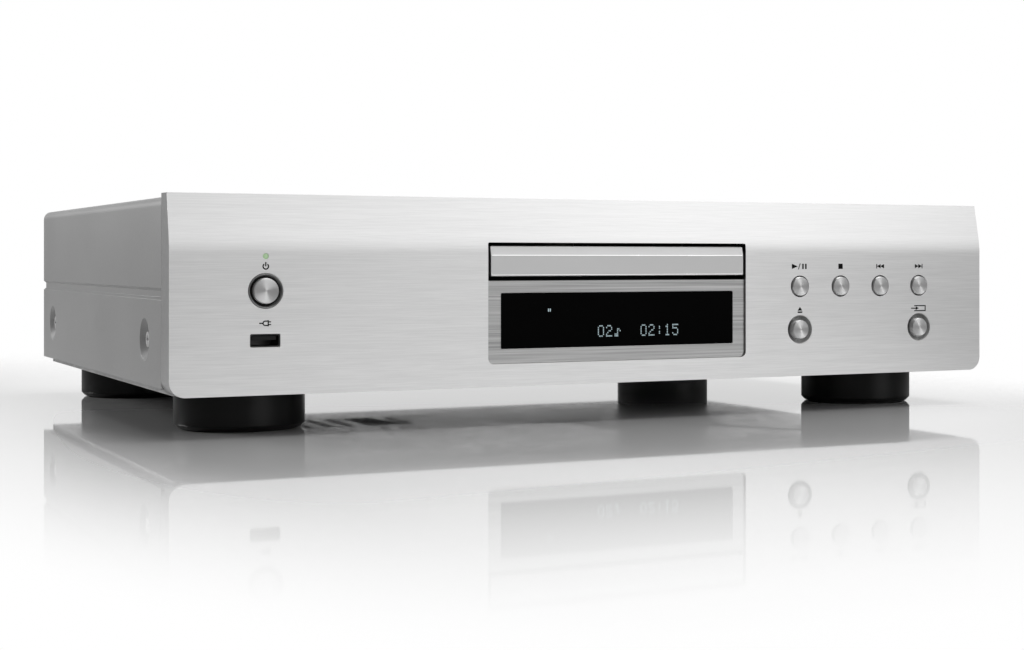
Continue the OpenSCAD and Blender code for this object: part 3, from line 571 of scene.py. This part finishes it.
def make_rings():
    collars = [
        place_turned(
            node + "_collar", COLLAR_OUTLINE, middle(node), "collar", "casing", slot="bright_metal")
        for node in ("eject_button", "source_button")
    ]
    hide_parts("button_collars")
    at = middle("power_ring")
    place_turned("power_ring_turned", POWER_RING_OUTLINE, at, "ring", "casing", "power_ring")
    place_turned(
        "power_ring_liner", POWER_LINER_OUTLINE, at, "black", "casing", slot="black_plastic")
    place_turned("led_lens_domed", LENS_OUTLINE, middle("led_lens"), "led", "casing", "led_lens")


# ---------------------------------------------------------------- printed marks


def bar(x0, z0, x1, z1):
    return [(x0, z0), (x1, z0), (x1, z1), (x0, z1)]


def shifted(loop, dx, dz=0):
    return [(x + dx, z + dz) for x, z in loop]


def arrow(width, height, way=1):
    """Solid triangle pointing along +X, or -X when way is -1."""
    return [(-way * width / 2, -height / 2), (way * width / 2, 0), (-way * width / 2, height / 2)]


def arc_band(r, thick, start, end, steps=24):
    """Part of a ring from start to end degrees, anticlockwise from +X."""
    angles = [math.radians(start + (end - start) * k / steps) for k in range(steps + 1)]
    near, far = r - thick / 2, r + thick / 2
    outer = [(far * math.cos(a), far * math.sin(a)) for a in angles]
    inner = [(near * math.cos(a), near * math.sin(a)) for a in reversed(angles)]
    return outer + inner


def frame_lines(x0, z0, x1, z1, thick):
    """Four thin bars round a rectangle."""
    return [
        bar(x0, z0, x1, z0 + thick), bar(x0, z1 - thick, x1, z1),
        bar(x0, z0 + thick, x0 + thick, z1 - thick), bar(x1 - thick, z0 + thick, x1, z1 - thick),
    ]


# Sizes in millimetres; each rise is counted from the middle of the node below the mark
ICON = 2.7
ICON_RISE = 10.2
LOW_ICON_RISE = 9.9
POWER_ICON_RISE = 10.75
PLUG_ICON_RISE = 7.6
PAUSE = [bar(0, -ICON / 2, 0.95, ICON / 2), bar(1.75, -ICON / 2, 2.7, ICON / 2)]
SKIP = [arrow(2.3, 2.3), shifted(arrow(2.3, 2.3), 2.2), bar(3.25, -1.15, 3.8, 1.15)]
ICONS = {
    "play_pause_button": [
        shifted(arrow(3.5, ICON), -3.1), [(-1.2, -1.5), (-0.7, -1.5), (0.4, 1.5), (-0.1, 1.5)],
        *(shifted(loop, ICON / 2) for loop in PAUSE),
    ],
    "stop_button": [bar(-ICON / 2, -ICON / 2, ICON / 2, ICON / 2)],
    "previous_button": [[(-x + ICON / 2, z) for x, z in loop] for loop in SKIP],
    "next_button": [shifted(loop, -ICON / 2) for loop in SKIP],
}
LOW_ICONS = {
    "eject_button": [[(-1.4, -0.3), (1.4, -0.3), (0, 1.6)], bar(-1.4, -1.5, 1.4, -0.75)],
    "source_button": [
        bar(-5.0, -0.28, -1.6, 0.28), [(-1.9, -1.0), (0.0, 0), (-1.9, 1.0)],
        bar(-2.9, -1.6, 4.5, -1.05), bar(-2.9, 1.05, 4.5, 1.6), bar(3.9, -1.05, 4.5, 1.05),
    ],
}
POWER_ICON = [arc_band(1.2, 0.6, 125, 415), bar(-0.3, 0.0, 0.3, 1.9)]
PLUG_ICON = [
    bar(-2.7, -0.28, -0.7, 0.28), arc_band(0.95, 0.55, 90, 270, 12), bar(0, 0.68, 1.1, 1.22),
    bar(0, -1.22, 1.1, -0.68), bar(1.05, -1.35, 1.6, 1.35), bar(1.6, 0.35, 2.6, 0.85),
    bar(1.6, -0.85, 2.6, -0.35),
]


def panel_mark(name, loops, x, z):
    ink(name, loops, (x, z), FACE_Y, "ink", "casing", "black_plastic")


def make_panel_marks():
    for node, loops in ICONS.items():
        at = middle(node)
        panel_mark(node + "_mark", loops, at.x, at.z + ICON_RISE * MM)
    for node, loops in LOW_ICONS.items():
        at = middle(node)
        panel_mark(node + "_mark", loops, at.x, at.z + LOW_ICON_RISE * MM)
    at = middle("power_button")
    panel_mark("power_mark", POWER_ICON, at.x, at.z + POWER_ICON_RISE * MM)
    at = middle("usb_shell")
    panel_mark("plug_mark", PLUG_ICON, at.x, at.z + PLUG_ICON_RISE * MM)


# ---------------------------------------------------------------- tray front and display

# Polished slivers on the tray's front, in millimetres: lower and upper height of each, half
# length, how far the lower rim stands out and how far the others sink in
TRAY_LINES = ((79.85, 80.25), (70.7, 70.95))
TRAY_LINE_HALF = 67.9
TRAY_LINE_PROUD = 0.06
TRAY_LINE_SUNK = 0.01


def make_tray_lines():
    """Slivers along the break and the lower edge of the tray's front, leaning back a little."""
    front = low("tray_front").y
    proud, flush = front - TRAY_LINE_PROUD * MM, front + TRAY_LINE_SUNK * MM
    points, faces = [], []
    for low_z, high_z in TRAY_LINES:
        first = len(points)
        for x in (-TRAY_LINE_HALF * MM, TRAY_LINE_HALF * MM):
            points += [(x, flush, low_z * MM), (x, proud, low_z * MM), (x, flush, high_z * MM)]
        a, b, c, d, e, f = range(first, first + 6)
        faces += [(a, c, b), (d, e, f), (b, c, f, e), (a, b, e, d), (c, a, d, f)]
    mesh = bpy.data.meshes.new("tray_front_lines")
    mesh.from_pydata(points, [], faces)
    finish_piece("tray_front_lines", mesh, "polished", "tray", slot="brushed_aluminium")


# Dot-matrix glyphs, top row first
DOT_ROWS = {
    "0": ("01110", "10001", "10001", "10001", "10001", "10001", "01110"),
    "1": ("00100", "01100", "00100", "00100", "00100", "00100", "01110"),
    "2": ("01110", "10001", "00001", "00110", "01000", "10000", "11111"),
    "5": ("11111", "10000", "11110", "00001", "00001", "10001", "01110"),
    ":": ("00000", "00100", "00100", "00000", "00100", "00100", "00000"),
    "note": ("00000", "00000", "00110", "00101", "00100", "11100", "11100"),
}
# Pitch and size of a dot, width of a glyph's cell, and where the readings start, in millimetres
DOT_STEP = (0.68, 0.82)
DOT_SIZE = (0.46, 0.56)
CELL = 4.4
DIGITS_LOW = 40.8
TRACK_X = -12.1
TIME_X = 11.1
NOTE_GAP = 9
READOUT = (
    ("0", TRACK_X), ("2", TRACK_X + CELL), ("note", TRACK_X + NOTE_GAP), ("0", TIME_X),
    ("2", TIME_X + CELL), (":", TIME_X + 2 * CELL), ("1", TIME_X + 3 * CELL),
    ("5", TIME_X + 4 * CELL),
)
PAUSE_SIGN = [bar(-38.5, 53.3, -38.0, 54.7), bar(-37.6, 53.3, -37.1, 54.7)]
DISPLAY_THICK = 0.02


def dots(glyph, x, z):
    """The lit dots of one glyph, its lower left corner at x, z."""
    loops = []
    for row, line in enumerate(reversed(DOT_ROWS[glyph])):
        for column, lit in enumerate(line):
            if lit == "1":
                x0, z0 = x + column * DOT_STEP[0], z + row * DOT_STEP[1]
                loops.append(bar(x0, z0, x0 + DOT_SIZE[0], z0 + DOT_SIZE[1]))
    return loops


def make_display():
    loops = [loop for glyph, x in READOUT for loop in dots(glyph, x, DIGITS_LOW)]
    window_y = low("display_window").y
    ink("display_digits", loops + PAUSE_SIGN, (0, 0), window_y, "digits", "casing", "tube_glass",
        DISPLAY_THICK)


# ---------------------------------------------------------------- rear panel

# Place along X of each phono socket in millimetres: colour of its core and washer
CORE_COLOURS = {-150: "white", -132: "red", -100: "orange"}
# Outlines [r, h, fillet] in millimetres, heights counted from the rear face
BARREL_OUTLINE = [
    (3.4, -6), (6.0, -6), (6.0, 1.2, 0.2), (4.15, 1.2), (4.15, 7.2, 0.3), (3.4, 7.2, 0.15),
]
CORE_OUTLINE = [(1.6, -6), (3.38, -6), (3.38, 6.6, 0.2), (1.6, 6.6, 0.2)]
WASHER_OUTLINE = [(4.2, 1.2), (7.4, 1.2, 0.1), (7.4, 1.5, 0.1), (4.2, 1.5)]
# Printed lines round each group of sockets: left, low, right and high edge, in millimetres
LINE = 0.35
REAR_OUTLINES = {
    "audio": (-160, 50, -122, 74), "digital": (-110, 50, -64, 74), "remote": (-54, 50, -18, 74),
    "mains": (140, 44, 180, 76),
}
REMOTE_SIGN = [shifted(arrow(2.4, 2.4, -1), -44, 69.6), shifted(arrow(2.4, 2.4), -28, 69.6)]
MAINS_SIGN = [bar(157, 79.3, 163, 79.7), bar(157, 80.4, 163, 80.8)]


def rear_mark(name, loops):
    ink(name, loops, (0, 0), REAR_Y, "white_ink", "casing", "cable_white")


def make_rear():
    z = middle("phono_sockets").z
    first = None
    for x, colour in CORE_COLOURS.items():
        centre = Vector((x * MM, REAR_Y, z))
        tail = "_%d" % -x
        barrel = lathe(
            "phono_barrel" + tail, BARREL_OUTLINE, centre, REARWARD, "gold", "casing",
            slot="gold_plate")
        first = first or barrel
        for part, outline in (("core", CORE_OUTLINE), ("washer", WASHER_OUTLINE)):
            lathe(
                "phono_" + part + tail, outline, centre, REARWARD, colour, "casing",
                slot="white_plastic")
    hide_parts("phono_sockets")
    for group, edges in REAR_OUTLINES.items():
        rear_mark("rear_outline_" + group, frame_lines(*edges, LINE))
    rear_mark("remote_marks", REMOTE_SIGN)
    rear_mark("mains_mark", MAINS_SIGN)


# ---------------------------------------------------------------- everything else on the frame

SLOT_LOOKS = {
    "brushed_aluminium": "panel", "cover_paint": "cover", "rear_paint": "rear",
    "zinc_steel": "zinc", "bright_metal": "plate", "bezel_metal": "bezel",
    "black_plastic": "black", "foot_plastic": "foot", "window_acrylic": "gloss",
    "tube_glass": "gloss", "led_green": "led", "white_plastic": "natural",
    "pad_rubber": "rubber", "belt_rubber": "rubber", "board_green": "board",
    "component_black": "package", "iron_core": "core", "copper_coil": "copper",
    "gold_plate": "gold", "motor_steel": "plate", "cable_white": "cable",
}


def dress_nodes():
    """Gives every CAD node that still shows the material of its slot."""
    for node, thing in NODES.items():
        thing.data.materials.clear()
        thing.data.materials.append(MATERIALS[SLOT_LOOKS[SLOT_OF[node]]])


# ---------------------------------------------------------------- stage and light

# In metres: half width of the floor, half sizes of the middle area round the player, and how far
# outside that area the floor starts and ends its fade; distances along X count three times
FLOOR_REACH = 12
SOLID_HALF = (0.2, 0.15, 0)
FADE_STRETCH = (3, 1, 1)
FADE_FROM = 0.08
FADE_TO = 0.5


def make_stage():
    """Glossy pale floor that fades out into the white surround away from the player."""
    mesh = bpy.data.meshes.new("floor")
    ways = ((-1, -1), (1, -1), (1, 1), (-1, 1))
    corners = [(x * FLOOR_REACH, y * FLOOR_REACH, 0) for x, y in ways]
    mesh.from_pydata(corners, [], [(0, 1, 2, 3)])
    floor = bpy.data.objects.new("floor", mesh)
    SCENE.collection.objects.link(floor)
    g = Graph("floor_gloss", tone(0.62), 0.035, 0.0, Specular_IOR_Level=0.8)
    away = g.add("ShaderNodeVectorMath", operation="ABSOLUTE")
    g.link(g.place, away.inputs[0])
    past = g.add("ShaderNodeVectorMath", operation="SUBTRACT")
    past.inputs[1].default_value = SOLID_HALF
    g.link(away.outputs[0], past.inputs[0])
    outside = g.add("ShaderNodeVectorMath", operation="MAXIMUM")
    outside.inputs[1].default_value = (0, 0, 0)
    g.link(past.outputs[0], outside.inputs[0])
    stretched = g.add("ShaderNodeVectorMath", operation="MULTIPLY")
    stretched.inputs[1].default_value = FADE_STRETCH
    g.link(outside.outputs[0], stretched.inputs[0])
    distance = g.add("ShaderNodeVectorMath", operation="LENGTH")
    g.link(stretched.outputs[0], distance.inputs[0])
    fade = g.add("ShaderNodeMapRange", interpolation_type="SMOOTHSTEP")
    fade.inputs["From Min"].default_value = FADE_FROM
    fade.inputs["From Max"].default_value = FADE_TO
    g.link(distance.outputs["Value"], fade.inputs["Value"])
    clear = g.add("ShaderNodeBsdfTransparent")
    blend = g.add("ShaderNodeMixShader")
    g.link(fade.outputs["Result"], blend.inputs[0])
    g.link(g.shader.outputs[0], blend.inputs[1])
    g.link(clear.outputs[0], blend.inputs[2])
    g.link(blend.outputs[0], g.tree.nodes["Material Output"].inputs["Surface"])
    floor.data.materials.append(g.material)


def area_light(name, place, target, size, power):
    data = bpy.data.lights.new(name, "AREA")
    data.shape = "RECTANGLE"
    data.size, data.size_y = size
    data.energy = power
    light = bpy.data.objects.new(name, data)
    light.location = place
    aim = Vector(target) - Vector(place)
    light.rotation_euler = aim.to_track_quat("-Z", "Y").to_euler()
    SCENE.collection.objects.link(light)


# Soft glows of the room: azimuth from +X, elevation, full within, gone beyond (degrees), strength;
# ROOM is the strength of the grey between them
GLOWS = (
    (-65, 17, 3, 28, 1.1),
    (-65, 62, 8, 27, 1.4),
    (66, 6, 12, 26, 0.8),
)
ROOM = 0.19


def make_world():
    """White in front of the camera; for reflections, a grey room with a few broad soft glows."""
    world = bpy.data.worlds.new("studio")
    world.use_nodes = True
    SCENE.world = world
    tree = world.node_tree
    tree.nodes.clear()
    out = tree.nodes.new("ShaderNodeOutputWorld")
    coordinates = tree.nodes.new("ShaderNodeTexCoord")
    total = None
    for azimuth, elevation, full, gone, strength in GLOWS:
        a, e = math.radians(azimuth), math.radians(elevation)
        dot = tree.nodes.new("ShaderNodeVectorMath")
        dot.operation = "DOT_PRODUCT"
        dot.inputs[1].default_value = (
            math.cos(e) * math.cos(a), math.cos(e) * math.sin(a), math.sin(e))
        tree.links.new(coordinates.outputs["Generated"], dot.inputs[0])
        lobe = tree.nodes.new("ShaderNodeMapRange")
        lobe.interpolation_type = "SMOOTHSTEP"
        lobe.inputs["From Min"].default_value = math.cos(math.radians(gone))
        lobe.inputs["From Max"].default_value = math.cos(math.radians(full))
        lobe.inputs["To Max"].default_value = strength
        tree.links.new(dot.outputs["Value"], lobe.inputs["Value"])
        add = tree.nodes.new("ShaderNodeMath")
        add.inputs[1].default_value = ROOM
        tree.links.new(lobe.outputs["Result"], add.inputs[0])
        if total is not None:
            tree.links.new(total, add.inputs[1])
        total = add.outputs[0]
    room = tree.nodes.new("ShaderNodeBackground")
    tree.links.new(total, room.inputs["Strength"])
    white = tree.nodes.new("ShaderNodeBackground")
    path = tree.nodes.new("ShaderNodeLightPath")
    blend = tree.nodes.new("ShaderNodeMixShader")
    tree.links.new(path.outputs["Is Camera Ray"], blend.inputs[0])
    tree.links.new(room.outputs[0], blend.inputs[1])
    tree.links.new(white.outputs[0], blend.inputs[2])
    room.inputs["Color"].default_value = (1, 1, 1, 1)
    white.inputs["Color"].default_value = (1, 1, 1, 1)
    tree.links.new(blend.outputs[0], out.inputs[0])


# Name, place, target and size in metres, power in watts
LAMPS = (
    ("overhead", (0.3, 0.1, 1.4), (0, 0, 0), (1.6, 1.2), 16),
    ("rear_left", (-1.3, 1.1, 0.6), (-0.2, 0, 0.06), (0.6, 0.5), 12),
    ("front_right", (1.3, -1.5, 1.0), (0, -0.1, 0.08), (1.2, 0.8), 1.5),
)


def make_lights():
    for lamp in LAMPS:
        area_light(*lamp)


# ---------------------------------------------------------------- the scene

make_camera()
SCENE.view_settings.view_transform = "Standard"
make_world()
make_lights()
make_stage()
dress_nodes()
make_casing()
make_feet()
make_buttons()
make_rings()
make_panel_marks()
make_tray_lines()
make_display()
make_rear()
